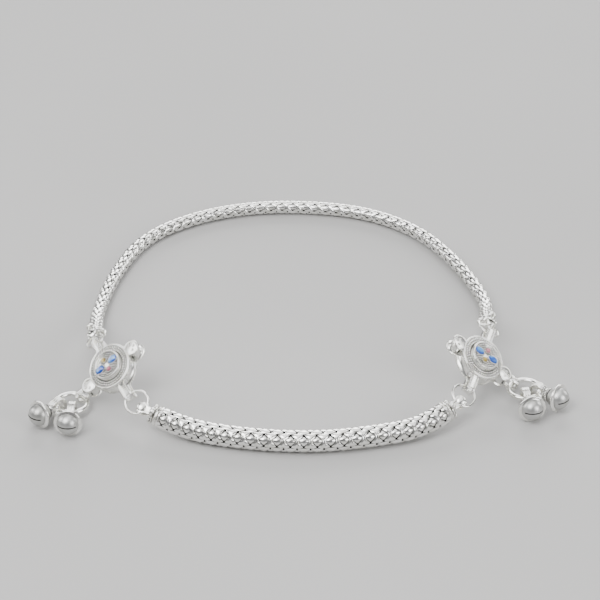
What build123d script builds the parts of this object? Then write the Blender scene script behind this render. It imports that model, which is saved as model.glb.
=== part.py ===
from build123d import *

# Payal anklet: a thick woven front chain and a finer back chain, joined by two
# stone-set medallions, each carrying a ring with two small bells. The whole
# loop lies on a level surface at Z = 0, front chain towards -Y. Millimetres.

import os
from collections import namedtuple
from copy import copy
from math import cos, pi, radians, sin, sqrt, tan

os.makedirs("parts", exist_ok=True)

# --- chains ---------------------------------------------------------------
FRONT_CHAIN_DIAMETER = 4.3
BACK_CHAIN_DIAMETER = 2.8
CHAIN_GAP = 0.05            # between a chain's end and its cap
FRONT_ENTRY = 5.5           # straight stretch of the front chain beside a cap
BACK_ENTRY = 5.0
BEND_SHARE = 0.45           # part of a run that each bend may take

# --- medallion ------------------------------------------------------------
PLATE_RADIUS = 4.65
PLATE_THICKNESS = 0.4
WALL_RADIUS = 4.15
WALL_HEIGHT = 2.0           # between the front and back plates
BOSS_RADIUS = 3.0
BOSS_HEIGHT = 0.95
BOSS_CHAMFER = 0.3
FLANGE_RISE = 0.3           # slope of the front plate from its rim to the boss
LOBE_RADIUS = 1.6
LOBE_WALL_RADIUS = 1.2
LOBE_OFFSET = 5.4
ARM_TIP = 8.4
ARM_WIDTH = 1.8
STRAP_THICKNESS = 0.35
STRAP_GAP = 1.6
BAIL_OFFSET = 7.9
BAIL_RADIUS = 1.6
BAIL_THICKNESS = 0.35
BAIL_WIDTH = 1.3

# --- stones ---------------------------------------------------------------
OVAL_LENGTH = 1.95
OVAL_WIDTH = 1.3
OVAL_OFFSET = 1.6
ROUND_DIAMETER = 0.9
ROUND_OFFSET = 1.15
STONE_HEIGHT = 0.6
STONE_SEAT = 0.3            # depth of the pocket that a stone sits in
STONE_GAP = 0.04
STONE_FACET = 0.2

# --- rings and caps -------------------------------------------------------
JUMP_WIRE = 0.5
JUMP_RING_OUTER = 5.0
BELL_WIRE = 0.95
BELL_RING_OUTER = 6.8
HOLD_IN_ARM = 7.05          # ring wire from the medallion's centre
CAP_LENGTH = 3.1            # ring wire to the chain's end
LEAF_GAP = 1.6              # fold of the leaf that the ring passes through
LEAF_THICKNESS = 0.35
LEAF_TIP = 1.55             # leaf's rounded end, past the ring wire
LEAF_RADIUS = 1.1
LEAF_SLOT_END = 0.9
CAP_NECK_RADIUS = 0.75
CAP_DISC_START = 1.45
CAP_DISC_THICKNESS = 0.7
CAP_DISC_OVERHANG = 0.15    # disc's edge past the chain's surface
CAP_DISC_BEVEL = 0.15
CAP_WAIST_END = 2.3
CAP_CONE_INSET = 0.2        # collar's end inside the chain's surface
CAP_CONE_BAND = 0.2
OVERLAP = 0.1               # how far joined shapes run into each other

# --- bells ----------------------------------------------------------------
BELL_RADIUS = 2.3
BELL_WALL = 0.3
LIP_RADIUS = 2.7
LIP_THICKNESS = 0.4
SHANK_OFFSET = 4.4          # shank ring's centre from the bell's centre
SHANK_RADIUS = 2.0
SHANK_BORE = 1.1
SHANK_WIDTH = 1.4
NECK_RADIUS = 0.95
COLLAR_RADIUS = 1.25
NECK_INSET = 0.3            # neck's start inside the shank ring's wall
SLOT_WIDTH = 0.4
SLOT_LENGTH = 3.8
SLOT_START = 0.9
BAIL_SAG = 0.16             # ring wire below the middle of the bail's hole
BAIL_SHIFT = 0.1            # and outward from it
SHANK_SAG = 0.2             # ring wire below the middle of a shank ring's hole
SHANK_SHIFT = 0.05          # and inward from it
SHANK_REACH = 1.9           # shanks past the bail, in ring radii
BELL_TILT = 8.7             # a lying bell rests on its lip and its shank ring
BELL_SPREAD = 32.0          # ring angle of each bell from the pair's middle
BELL_TURN = 20.0            # heading of each bell from the pair's middle

# --- how the pieces lie ---------------------------------------------------
ARM_PITCH = 12.0            # front arm lower than back arm
CAP_TWIST = 6.0             # a cap leans less than its medallion
FRONT_CAP_SLOPE = 14.0      # caps slope down to their chains
BACK_CAP_SLOPE = 27.0
BACK_ENTRY_HEIGHT = 1.9     # axis of the back chain above its rest at the first bend
LOOP_CENTRE = Vector(0, 5, 0)
FLOOR_GAP = 0.02

# Lean is of a medallion's face, outward from level. Headings are degrees from +X,
# counter-clockwise from above.
Side = namedtuple(
    "Side", "name x y lean front_arm front_ring front_cap back_ring back_cap ring_way bells_way"
)
SIDES = (
    Side("left", -36.2, -20.3, 40, -62, -47, -22, 104, 92, -132, -116),
    Side("right", 33.1, -17.3, 37, -108, -120, -146, 84, 92, -38, -58),
)
# Middle of each chain's route, from the left end to the right end.
FRONT_ROUTE = ((-13.5, -35.1), (-4.5, -36.3), (4.5, -36.3), (13.5, -34.7))
BACK_ROUTE = (
    (-41.2, 4.0),
    (-38.7, 17.5),
    (-33.5, 30.3),
    (-24.0, 38.0),
    (-12.0, 42.2),
    (1.0, 42.6),
    (13.5, 40.2),
    (23.7, 33.4),
    (30.3, 23.5),
    (34.6, 13.5),
    (36.4, 6.5),
)


def heading(angle):
    return Vector(cos(radians(angle)), sin(radians(angle)), 0)


def leaning_plane(origin, forward, lean):
    """Plane along a piece: X runs forward, Z is its face, leaning outward."""
    forward = forward.normalized()
    inward = Vector(0, 0, 1).cross(forward).normalized()
    if inward.dot(LOOP_CENTRE - origin) < 0:
        inward = inward * -1
    upright = forward.cross(inward)
    if upright.Z < 0:
        upright = upright * -1
    face = upright * cos(radians(lean)) - inward * sin(radians(lean))
    return Plane(origin=origin, x_dir=forward, z_dir=face)


def reach(start, angle, length, end_height):
    """Point at a distance from start, on a heading, at a given height."""
    rise = end_height - start.Z
    return start + heading(angle) * sqrt(length**2 - rise**2) + Vector(0, 0, rise)


# --- the pieces, each in its own frame ------------------------------------
def strap(half_length, gap, thickness, width):
    """Flat strap folded into a long loop, seen along Y."""
    outer = SlotOverall(2 * half_length, gap + 2 * thickness)
    inner = SlotOverall(2 * (half_length - thickness), gap)
    return extrude(Plane.XZ * (outer - inner), width / 2, both=True)


def plate_pair(x, y, plate_radius, wall_radius):
    """Front plate, side wall and back plate of the body or of a lobe."""
    plate_level = (WALL_HEIGHT + PLATE_THICKNESS) / 2
    wall = Pos(x, y, 0) * Cylinder(wall_radius, WALL_HEIGHT)
    front = Pos(x, y, plate_level) * Cylinder(plate_radius, PLATE_THICKNESS)
    back = Pos(x, y, -plate_level) * Cylinder(plate_radius, PLATE_THICKNESS)
    return wall + front + back


def stone_outline(kind, extra=0.0):
    if kind == "oval":
        return Ellipse(OVAL_LENGTH / 2 + extra, OVAL_WIDTH / 2 + extra)
    return Circle(ROUND_DIAMETER / 2 + extra)


def stone_places():
    """Name, outline and place of each stone on the boss."""
    return (
        ("blue_stone_inner", "oval", (0, OVAL_OFFSET)),
        ("blue_stone_outer", "oval", (0, -OVAL_OFFSET)),
        ("pink_stone", "round", (ROUND_OFFSET, 0)),
        ("yellow_stone", "round", (-ROUND_OFFSET, 0)),
    )


def boss_top():
    return WALL_HEIGHT / 2 + PLATE_THICKNESS + FLANGE_RISE + BOSS_HEIGHT


def stone(kind, place):
    floor = boss_top() - STONE_SEAT
    solid = Pos(*place, floor + STONE_GAP) * extrude(stone_outline(kind), STONE_HEIGHT)
    table_rim = solid.faces().sort_by(Axis.Z)[-1].edges()
    return chamfer(table_rim, STONE_FACET)


def medallion():
    """Box station with two strap arms, an ear, a lower lobe and the bell bail."""
    body = plate_pair(0, 0, PLATE_RADIUS, WALL_RADIUS)
    rim_level = WALL_HEIGHT / 2 + PLATE_THICKNESS
    flange = Pos(0, 0, rim_level + FLANGE_RISE / 2) * Cone(PLATE_RADIUS, BOSS_RADIUS, FLANGE_RISE)
    boss = Pos(0, 0, rim_level + FLANGE_RISE + BOSS_HEIGHT / 2) * Cylinder(BOSS_RADIUS, BOSS_HEIGHT)
    boss = chamfer(boss.faces().sort_by(Axis.Z)[-1].edges(), BOSS_CHAMFER)
    arms = strap(ARM_TIP, STRAP_GAP, STRAP_THICKNESS, ARM_WIDTH)
    ear = plate_pair(0, LOBE_OFFSET, LOBE_RADIUS, LOBE_WALL_RADIUS)
    lower_lobe = plate_pair(0, -LOBE_OFFSET, LOBE_RADIUS, LOBE_WALL_RADIUS)
    bail = Cylinder(BAIL_RADIUS, BAIL_WIDTH) - Cylinder(BAIL_RADIUS - BAIL_THICKNESS, BAIL_WIDTH)
    bail = Pos(0, -BAIL_OFFSET, 0) * Rot(0, 90, 0) * bail
    solid = body + flange + boss + arms + ear + lower_lobe + bail
    for _, kind, place in stone_places():
        pocket = extrude(stone_outline(kind, STONE_GAP), STONE_SEAT)
        solid -= Pos(*place, boss_top() - STONE_SEAT) * pocket
    return solid


def ring(outer, wire):
    return Torus((outer - wire) / 2, wire / 2)


def strap_end():
    """Folded strap closed at its far end, solid from the slot's end to the disc."""
    neck = CAP_DISC_START + OVERLAP
    outer_half = LEAF_GAP / 2 + LEAF_THICKNESS
    outer = Pos(outer_half - LEAF_TIP, 0) * Circle(outer_half)
    straight = neck + LEAF_TIP - outer_half
    outer += Pos(neck - straight / 2, 0) * Rectangle(straight, 2 * outer_half)
    slot_start = LEAF_THICKNESS - LEAF_TIP
    slot = SlotOverall(LEAF_SLOT_END - slot_start, LEAF_GAP)
    slot = Pos((slot_start + LEAF_SLOT_END) / 2, 0) * slot
    return extrude(Plane.XZ * (outer - slot), LEAF_RADIUS, both=True)


def cap(chain_diameter):
    """Cap from the ring wire at the origin to the chain's end, along X."""
    leaf_outline = Pos(LEAF_RADIUS - LEAF_TIP, 0) * Circle(LEAF_RADIUS)
    neck_length = CAP_DISC_START + 2 * OVERLAP
    leaf_outline += Pos(neck_length / 2 - OVERLAP, 0) * Rectangle(neck_length, 2 * CAP_NECK_RADIUS)
    leaf = strap_end() & extrude(leaf_outline, LEAF_RADIUS, both=True)
    disc_radius = chain_diameter / 2 + CAP_DISC_OVERHANG
    disc_end = CAP_DISC_START + CAP_DISC_THICKNESS
    cone_radius = chain_diameter / 2 - CAP_CONE_INSET
    profile = Polygon(
        (CAP_DISC_START, 0),
        (CAP_DISC_START, disc_radius - CAP_DISC_BEVEL),
        (CAP_DISC_START + CAP_DISC_BEVEL, disc_radius),
        (disc_end - CAP_DISC_BEVEL, disc_radius),
        (disc_end, disc_radius - CAP_DISC_BEVEL),
        (disc_end, CAP_NECK_RADIUS),
        (CAP_WAIST_END, CAP_NECK_RADIUS),
        (CAP_LENGTH - CAP_CONE_BAND, cone_radius),
        (CAP_LENGTH, cone_radius),
        (CAP_LENGTH, 0),
        align=None,
    )
    return leaf + revolve(profile, Axis.X)


def on_sphere(radius, x):
    return (x, sqrt(radius**2 - x**2))


def arc_on_sphere(radius, start, stop):
    middle = on_sphere(radius, (start[0] + stop[0]) / 2)
    return ThreePointArc(start, middle, stop)


def bell():
    """Hollow bell, mouth towards +X, shank ring behind it with its bore on Y."""
    neck_start = -(SHANK_OFFSET - SHANK_BORE - NECK_INSET)
    collar_start = -(SHANK_OFFSET - SHANK_RADIUS + OVERLAP)
    collar_end = (-sqrt(BELL_RADIUS**2 - COLLAR_RADIUS**2), COLLAR_RADIUS)
    half_lip = LIP_THICKNESS / 2
    lip_back = on_sphere(BELL_RADIUS, -half_lip)
    lip_front = on_sphere(BELL_RADIUS, half_lip)
    hollow = BELL_RADIUS - BELL_WALL
    outline = [
        Polyline(
            (-hollow, 0),
            (neck_start, 0),
            (neck_start, NECK_RADIUS),
            (collar_start, NECK_RADIUS),
            (collar_start, COLLAR_RADIUS),
            collar_end,
        ),
        arc_on_sphere(BELL_RADIUS, collar_end, lip_back),
        Polyline(lip_back, (-half_lip, LIP_RADIUS), (half_lip, LIP_RADIUS), lip_front),
        arc_on_sphere(BELL_RADIUS, lip_front, (BELL_RADIUS, 0)),
        Line((BELL_RADIUS, 0), (hollow, 0)),
        ThreePointArc((hollow, 0), (0, hollow), (-hollow, 0)),
    ]
    body = revolve(make_face(Curve() + outline), Axis.X)
    shank = Cylinder(SHANK_RADIUS, SHANK_WIDTH) - Cylinder(SHANK_BORE, SHANK_WIDTH)
    body += Pos(-SHANK_OFFSET, 0, 0) * Rot(90, 0, 0) * shank
    slot_depth = BELL_RADIUS
    slot = Box(slot_depth, SLOT_LENGTH, SLOT_WIDTH)
    return body - Pos(SLOT_START + slot_depth / 2, 0, 0) * slot


def chain_tube(route, diameter, name):
    """Round tube along straight runs joined by tangent arcs."""
    radii = []
    for before, here, after in zip(route, route[1:], route[2:]):
        turn = radians((here - before).get_angle(after - here))
        shorter = min((here - before).length, (after - here).length)
        radii.append(BEND_SHARE * shorter / tan(turn / 2))
    path = FilletPolyline(*route, radius=radii)
    section = Plane(origin=route[0], z_dir=route[1] - route[0]) * Circle(diameter / 2)
    tube = sweep(section, path=path)
    expected = path.length * pi * (diameter / 2) ** 2
    print(name, "length", round(path.length, 1), "radii", [round(r, 1) for r in radii])
    print(name, "volume / (section x length)", round(tube.volume / expected, 4))
    return tube


# --- placing --------------------------------------------------------------
# For each end: chain diameter, straight entry, height kept at its bend, cap slope.
CHAIN_ENDS = {
    "front": (FRONT_CHAIN_DIAMETER, FRONT_ENTRY, 0.0, FRONT_CAP_SLOPE),
    "back": (BACK_CHAIN_DIAMETER, BACK_ENTRY, BACK_ENTRY_HEIGHT, BACK_CAP_SLOPE),
}
pieces = {}


def add(name, shape):
    pieces[name] = shape


def place_cap_group(side, end, medallion_plane, arm, ring_angle, cap_angle):
    """Jump ring and cap from one arm; gives the chain's start and its way out."""
    diameter, entry, entry_height, slope = CHAIN_ENDS[end]
    wire = (JUMP_RING_OUTER - JUMP_WIRE) / 2
    end_height = diameter / 2 + entry_height + (entry + CHAIN_GAP) * sin(radians(slope))
    leaf_height = end_height + CAP_LENGTH * sin(radians(slope))
    hold = medallion_plane.origin + arm * HOLD_IN_ARM
    leaf_hold = reach(hold, ring_angle, 2 * wire, leaf_height)
    chain_end = reach(leaf_hold, cap_angle, CAP_LENGTH, end_height)
    ring_way = (leaf_hold - hold).normalized()
    cap_way = (chain_end - leaf_hold).normalized()
    cap_plane = leaning_plane(leaf_hold, cap_way, side.lean - CAP_TWIST)
    between = medallion_plane.z_dir + cap_plane.z_dir
    ring_face = between - ring_way * between.dot(ring_way)
    ring_plane = Plane(origin=hold + ring_way * wire, x_dir=ring_way, z_dir=ring_face)
    add(f"jump_ring_{end}_{side.name}", ring_plane * ring(JUMP_RING_OUTER, JUMP_WIRE))
    add(f"{end}_cap_{side.name}", cap_plane * cap(diameter))
    return chain_end + cap_way * CHAIN_GAP, cap_way


def place_bells(side, bail):
    """Bell ring through the bail, and two lying bells on the ring."""
    wire_circle = (BELL_RING_OUTER - BELL_WIRE) / 2
    way = heading(side.ring_way)
    hold = bail + way * BAIL_SHIFT - Vector(0, 0, BAIL_SAG)
    tilt = radians(BELL_TILT)
    bell_height = LIP_RADIUS * cos(tilt) + LIP_THICKNESS / 2 * sin(tilt) + FLOOR_GAP
    shank_height = bell_height - SHANK_OFFSET * sin(tilt)
    far_height = shank_height - SHANK_SAG
    slope = (far_height - hold.Z) / (SHANK_REACH * wire_circle)
    ring_way = (way + Vector(0, 0, slope)).normalized()
    centre = hold + ring_way * wire_circle
    across = Vector(0, 0, 1).cross(ring_way).normalized()
    ring_plane = Plane(origin=centre, x_dir=ring_way, z_dir=ring_way.cross(across))
    add(f"bell_ring_{side.name}", ring_plane * ring(BELL_RING_OUTER, BELL_WIRE))
    for name, turn in (("outer", -1), ("inner", 1)):
        hand = turn if side.name == "left" else -turn
        on_ring = centre + heading(side.bells_way + hand * BELL_SPREAD) * wire_circle
        facing = heading(side.bells_way + hand * BELL_TURN)
        shank = Vector(on_ring.X, on_ring.Y, shank_height) + facing * SHANK_SHIFT
        mouth_way = facing * cos(tilt) + Vector(0, 0, sin(tilt))
        upright = facing * -sin(tilt) + Vector(0, 0, cos(tilt))
        bell_plane = Plane(origin=shank + mouth_way * SHANK_OFFSET, x_dir=mouth_way, z_dir=upright)
        add(f"bell_{side.name}_{name}", bell_plane * bell())


def place_side(side):
    """One medallion with its stones, rings, caps and bells."""
    pitch = radians(ARM_PITCH)
    front_arm = heading(side.front_arm) * cos(pitch) + Vector(0, 0, -sin(pitch))
    height = BAIL_RADIUS + FLOOR_GAP + BAIL_OFFSET * sin(radians(side.lean)) * cos(pitch)
    height += BAIL_WIDTH / 2 * sin(pitch)
    centre = Vector(side.x, side.y, height)
    plane = leaning_plane(centre, front_arm, side.lean)
    if plane.y_dir.dot(LOOP_CENTRE - centre) < 0:
        plane = Plane(origin=centre, x_dir=front_arm * -1, z_dir=plane.z_dir)
    add(f"medallion_{side.name}", plane * medallion())
    for name, kind, place in stone_places():
        add(f"{name}_{side.name}", plane * stone(kind, place))
    front = place_cap_group(side, "front", plane, front_arm, side.front_ring, side.front_cap)
    back = place_cap_group(side, "back", plane, front_arm * -1, side.back_ring, side.back_cap)
    place_bells(side, centre - plane.y_dir * BAIL_OFFSET)
    return front, back


def chain_route(end, middle, starts):
    """Route of a chain: out of one cap, along its middle, into the other cap."""
    diameter, entry, _, _ = CHAIN_ENDS[end]
    first, last = ([start, start + way * entry] for start, way in starts)
    return first + [Vector(x, y, diameter / 2) for x, y in middle] + last[::-1]


ends = [place_side(side) for side in SIDES]
front_route = chain_route("front", FRONT_ROUTE, [front for front, _ in ends])
add("front_chain", chain_tube(front_route, FRONT_CHAIN_DIAMETER, "front_chain"))
back_route = chain_route("back", BACK_ROUTE, [back for _, back in ends])
add("back_chain", chain_tube(back_route, BACK_CHAIN_DIAMETER, "back_chain"))

# The origin goes under the middle of the whole loop's box, at its lowest point.
box = Compound(children=[copy(shape) for shape in pieces.values()]).bounding_box()
to_origin = Pos(-box.center().X, -box.center().Y, -box.min.Z)
for name, shape in pieces.items():
    export_step(to_origin * shape, f"parts/{name}.step")
print("pieces", len(pieces), "size", box.size, "moved by", to_origin.position)
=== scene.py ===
# %% [markdown]
# # A silver payal
# This lesson finishes a payal, the ankle chain with small bells. The metal shapes come from a
# CAD model that is already in its place, so each piece made here is built at its real size and
# laid onto its CAD partner. We work in millimetres while shaping a piece and turn it into metres
# when it is put in place, because jewellery numbers are easier to read that way.
# %% Load the CAD model
from math import acos, atan2, ceil, cos, degrees, pi, radians, sin, sqrt

import bmesh
import bpy
import numpy as np
from mathutils import Matrix, Vector


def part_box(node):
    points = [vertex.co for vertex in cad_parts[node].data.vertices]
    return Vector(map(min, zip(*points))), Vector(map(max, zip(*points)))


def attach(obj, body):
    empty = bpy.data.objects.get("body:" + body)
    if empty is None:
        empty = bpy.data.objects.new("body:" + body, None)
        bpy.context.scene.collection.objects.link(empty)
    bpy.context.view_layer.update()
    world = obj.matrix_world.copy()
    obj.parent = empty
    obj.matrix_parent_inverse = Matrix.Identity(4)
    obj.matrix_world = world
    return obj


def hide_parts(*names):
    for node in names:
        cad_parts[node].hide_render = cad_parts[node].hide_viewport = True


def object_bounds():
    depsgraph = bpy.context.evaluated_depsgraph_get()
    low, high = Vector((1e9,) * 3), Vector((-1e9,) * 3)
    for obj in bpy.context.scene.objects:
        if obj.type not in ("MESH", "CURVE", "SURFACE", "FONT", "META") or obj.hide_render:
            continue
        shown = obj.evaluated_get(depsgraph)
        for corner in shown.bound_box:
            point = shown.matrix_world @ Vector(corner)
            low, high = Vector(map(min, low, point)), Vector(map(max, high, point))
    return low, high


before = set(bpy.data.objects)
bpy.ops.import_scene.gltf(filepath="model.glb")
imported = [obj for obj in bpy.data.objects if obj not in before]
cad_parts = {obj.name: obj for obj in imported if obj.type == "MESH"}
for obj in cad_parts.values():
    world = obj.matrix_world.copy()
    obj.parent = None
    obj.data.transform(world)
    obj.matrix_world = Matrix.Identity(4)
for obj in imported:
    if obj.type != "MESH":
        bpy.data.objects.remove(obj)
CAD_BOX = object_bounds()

MM = 0.001
BODY = "root"
low, high = (Vector(corner) for corner in CAD_BOX)
print("CAD box in mm", [round(v / MM, 1) for v in high - low])

# %% [markdown]
# ## Camera
# The whole loop has to show, seen from the front and from above at about 36 degrees. A long lens
# half a metre away keeps the near and far chains in proportion, as a product picture does. The
# lens length follows from the distance and from the width that has to fit.
# %% Camera
CAMERA_ELEVATION = 36.0
CAMERA_DISTANCE = 0.5
VIEW_WIDTH = 0.118
SENSOR_WIDTH = 36.0


def link_object(thing):
    bpy.context.scene.collection.objects.link(thing)
    return thing


def aim(thing, place, target):
    """Puts a camera or light somewhere and turns it to face a point."""
    thing.location = place
    thing.rotation_euler = (target - place).to_track_quat("-Z", "Y").to_euler()


camera = link_object(bpy.data.objects.new("camera", bpy.data.cameras.new("camera")))
loop_middle = (low + high) / 2
rise = radians(CAMERA_ELEVATION)
aim(camera, loop_middle + Vector((0, -cos(rise), sin(rise))) * CAMERA_DISTANCE, loop_middle)
camera.data.sensor_width = SENSOR_WIDTH
camera.data.lens = SENSOR_WIDTH * CAMERA_DISTANCE / VIEW_WIDTH
camera.data.clip_start = 0.01
bpy.context.scene.camera = camera
print("lens", round(camera.data.lens), "mm")

# %% [markdown]
# ## Nodes without typing
# A material is a small graph. This helper adds one node, sets its sockets by name, and a second
# one wires two sockets, so that each finish below reads as a short recipe. All patterns read
# Object coordinates in metres, so a scale of 2000 repeats about every half millimetre.
# %% Node helpers
def new_material(name):
    material = bpy.data.materials.new(name)
    material.use_nodes = True
    material.node_tree.nodes.clear()
    return material


def add_node(material, kind, settings=None, **sockets):
    node = material.node_tree.nodes.new(kind)
    for key, value in (settings or {}).items():
        setattr(node, key, value)
    for key, value in sockets.items():
        node.inputs[key.replace("_", " ")].default_value = value
    return node


def wire(material, source, output, target, socket):
    material.node_tree.links.new(source.outputs[output], target.inputs[socket])


def ramp(material, *stops):
    """Colour ramp from (position, grey or colour) stops."""
    node = add_node(material, "ShaderNodeValToRGB")
    elements = node.color_ramp.elements
    while len(elements) < len(stops):
        elements.new(0.5)
    for element, (position, tone) in zip(elements, stops):
        element.position = position
        colour = tone if isinstance(tone, tuple) else (tone, tone, tone)
        element.color = (*colour, 1)
    return node


def finish_material(material, shader):
    output = add_node(material, "ShaderNodeOutputMaterial")
    wire(material, shader, "BSDF", output, "Surface")
    return material


# %% [markdown]
# ## Floor and soft light
# Silver has no colour of its own: it shows what stands round it. A pale floor and a few big soft
# lamps give it long white reflections, and the grey between the lamps gives the darker tones
# that make the metal read as metal.
# %% Floor and light
FLOOR_HALF = 3.0
WORLD_GREY = (0.19, 0.19, 0.195, 1)
LAMPS = (
    # name, place, size, watts
    ("key_lamp", (-0.30, -0.30, 0.62), 0.50, 5.0),
    ("fill_lamp", (0.55, -0.40, 0.34), 0.40, 3.0),
    ("top_lamp", (0.10, 0.05, 0.90), 0.90, 4.0),
    ("back_lamp", (0.05, 1.00, 0.42), 0.90, 13.0),
    ("left_lamp", (-1.00, 0.28, 0.50), 0.60, 4.5),
    ("right_lamp", (0.95, 0.60, 0.42), 0.60, 4.5),
)


def pale_floor_material():
    material = new_material("pale_floor")
    place = add_node(material, "ShaderNodeTexCoord")
    cloud = add_node(material, "ShaderNodeTexNoise", Scale=6.0, Detail=3.0)
    tone = ramp(material, (0.3, (0.44, 0.436, 0.43)), (0.7, (0.48, 0.476, 0.47)))
    shader = add_node(material, "ShaderNodeBsdfPrincipled", Roughness=0.8)
    wire(material, place, "Object", cloud, "Vector")
    wire(material, cloud, "Fac", tone, "Fac")
    wire(material, tone, "Color", shader, "Base Color")
    return finish_material(material, shader)


shape = bmesh.new()
bmesh.ops.create_grid(shape, x_segments=1, y_segments=1, size=FLOOR_HALF)
floor_mesh = bpy.data.meshes.new("floor")
shape.to_mesh(floor_mesh)
shape.free()
floor_mesh.materials.append(pale_floor_material())
link_object(bpy.data.objects.new("floor", floor_mesh))

for name, place, size, watts in LAMPS:
    lamp = bpy.data.lights.new(name, "AREA")
    lamp.shape, lamp.size, lamp.energy = "DISK", size, watts
    aim(link_object(bpy.data.objects.new(name, lamp)), Vector(place), loop_middle)

world = bpy.data.worlds.new("studio")
world.use_nodes = True
world.node_tree.nodes["Background"].inputs["Color"].default_value = WORLD_GREY
bpy.context.scene.world = world
print("lamps", [name for name, *_ in LAMPS])

# %% [markdown]
# ## Cast and stamped silver
# Payal silver is polished white on its high spots and stays dark where the polishing wheel can't
# reach: partly it is tarnished there, and partly shade falls there. Ambient Occlusion finds those
# places for us: it is low where a point is crowded by its own metal. We use it to mix a dark
# colour into a near-white silver, painted crevice shade that also stands for the tarnished metal.
# Fine noise breaks up the roughness and adds a very small bump, like the skin of cast metal.
# Drawn wire is smoother than a casting, the links get a darker painted shade between their
# plates, and the bells' balls are painted a duller grey that stands for the dark surroundings
# they reflect.
# %% Silver finishes
def silver(name, bright, shade_and_tarnish, crevice, rough, grain, dent):
    """Polished silver: bright on top, with painted shade and tarnished metal in crevices of about
    that size (metres).
    """
    material = new_material(name)
    place = add_node(material, "ShaderNodeTexCoord")
    skin = add_node(material, "ShaderNodeTexNoise", Scale=grain, Detail=4.0, Roughness=0.6)
    wear = add_node(material, "ShaderNodeTexNoise", Scale=grain / 7, Detail=2.0)
    # Ambient Occlusion darkens the colour in crevices and between parts: painted shade, also
    # standing for tarnished metal
    crowding = add_node(
        material, "ShaderNodeAmbientOcclusion", {"samples": 8, "only_local": True}, Distance=crevice
    )
    # dark where AO is low, bright where it is high: painted crevice shade with tarnished metal
    half_shade_and_tarnish = tuple(0.5 * (b + t) for b, t in zip(bright, shade_and_tarnish))
    depth = ramp(material, (0.3, shade_and_tarnish), (0.6, half_shade_and_tarnish), (0.9, bright))
    tint = add_node(material, "ShaderNodeMix", {"data_type": "RGBA", "blend_type": "MULTIPLY"})
    tint.inputs["Factor"].default_value = 1.0
    stain = ramp(material, (0.35, (0.86, 0.86, 0.83)), (0.62, (1, 1, 1)))
    gloss = add_node(material, "ShaderNodeMapRange", To_Min=rough[0], To_Max=rough[1])
    bump = add_node(material, "ShaderNodeBump", Strength=0.5, Distance=dent)
    shader = add_node(material, "ShaderNodeBsdfPrincipled", Metallic=1.0)
    for texture in (skin, wear):
        wire(material, place, "Object", texture, "Vector")
    wire(material, crowding, "AO", depth, "Fac")
    wire(material, wear, "Fac", stain, "Fac")
    wire(material, depth, "Color", tint, "A")
    wire(material, stain, "Color", tint, "B")
    material.node_tree.links.new(tint.outputs["Result"], shader.inputs["Base Color"])
    wire(material, skin, "Fac", gloss, "Value")
    wire(material, gloss, "Result", shader, "Roughness")
    wire(material, skin, "Fac", bump, "Height")
    wire(material, bump, "Normal", shader, "Normal")
    return finish_material(material, shader)


SILVER_WHITE = (0.97, 0.965, 0.94)
SILVERS = {
    # bright colour, colour of painted shade and tarnished metal, crevice size, roughness on high
    # and low grain, grain, dents
    "cast_silver": (SILVER_WHITE, (0.16, 0.16, 0.15), 0.00032, (0.16, 0.34), 5200, 0.00003),
    # links: the near-black crevice colour is painted shade between their plates, with tarnished
    # metal
    "link_silver": ((0.98, 0.975, 0.955), (0.07, 0.07, 0.065), 0.0007, (0.14, 0.30), 4800, 0.00003),
    "wire_silver": (SILVER_WHITE, (0.3, 0.3, 0.29), 0.0004, (0.1, 0.24), 2600, 0.00001),
    # the ball's grey base colour is painted shade: it stands for the dark surroundings it reflects
    "bell_silver": ((0.60, 0.60, 0.59), (0.10, 0.10, 0.10), 0.0008, (0.34, 0.46), 1500, 0.000012),
}
cast_silver, link_silver, wire_silver, bell_silver = (
    silver(name, *recipe) for name, recipe in SILVERS.items()
)
print("silver finishes", list(SILVERS))


# %% [markdown]
# ## Painted shade in the gaps
# Deep inside the weave, in bell slits and in punched pits no light gets out, and the silver is
# painted nearly black there as shade. A separate rough, dark finish goes on those inner faces.
# %% Painted shade finish
def painted_shade():
    material = new_material("painted_shade")
    place = add_node(material, "ShaderNodeTexCoord")
    shade_mottle = add_node(material, "ShaderNodeTexNoise", Scale=3500.0, Detail=3.0)
    # near-black painted shade, mottled a little by noise
    tone = ramp(material, (0.3, (0.012, 0.011, 0.011)), (0.75, (0.06, 0.057, 0.052)))
    shader = add_node(material, "ShaderNodeBsdfPrincipled", Metallic=0.6, Roughness=0.6)
    wire(material, place, "Object", shade_mottle, "Vector")
    wire(material, shade_mottle, "Fac", tone, "Fac")
    wire(material, tone, "Color", shader, "Base Color")
    return finish_material(material, shader)


deep_painted_shade = painted_shade()
print("oxide finish", deep_painted_shade.name)


# %% [markdown]
# ## Glass stones
# The stones are cheap cut glass: clear, strongly coloured and glued over foil, so they light up
# in one place and go deep in another. A band of lighter colour drifts through a darker one, and
# a glossy coat gives the sharp glints. Some light passes through, which softens the colour.
# %% Stone finishes
def cut_glass(name, deep, body, light):
    material = new_material(name)
    place = add_node(material, "ShaderNodeTexCoord")
    drift = add_node(material, "ShaderNodeTexNoise", Scale=900.0, Detail=2.0, Distortion=0.6)
    tone = ramp(material, (0.32, deep), (0.5, body), (0.68, light))
    shader = add_node(
        material, "ShaderNodeBsdfPrincipled", Roughness=0.06, IOR=1.58, Coat_Weight=0.8,
        Coat_Roughness=0.03, Transmission_Weight=0.25,
    )
    wire(material, place, "Object", drift, "Vector")
    wire(material, drift, "Fac", tone, "Fac")
    wire(material, tone, "Color", shader, "Base Color")
    return finish_material(material, shader)


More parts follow.
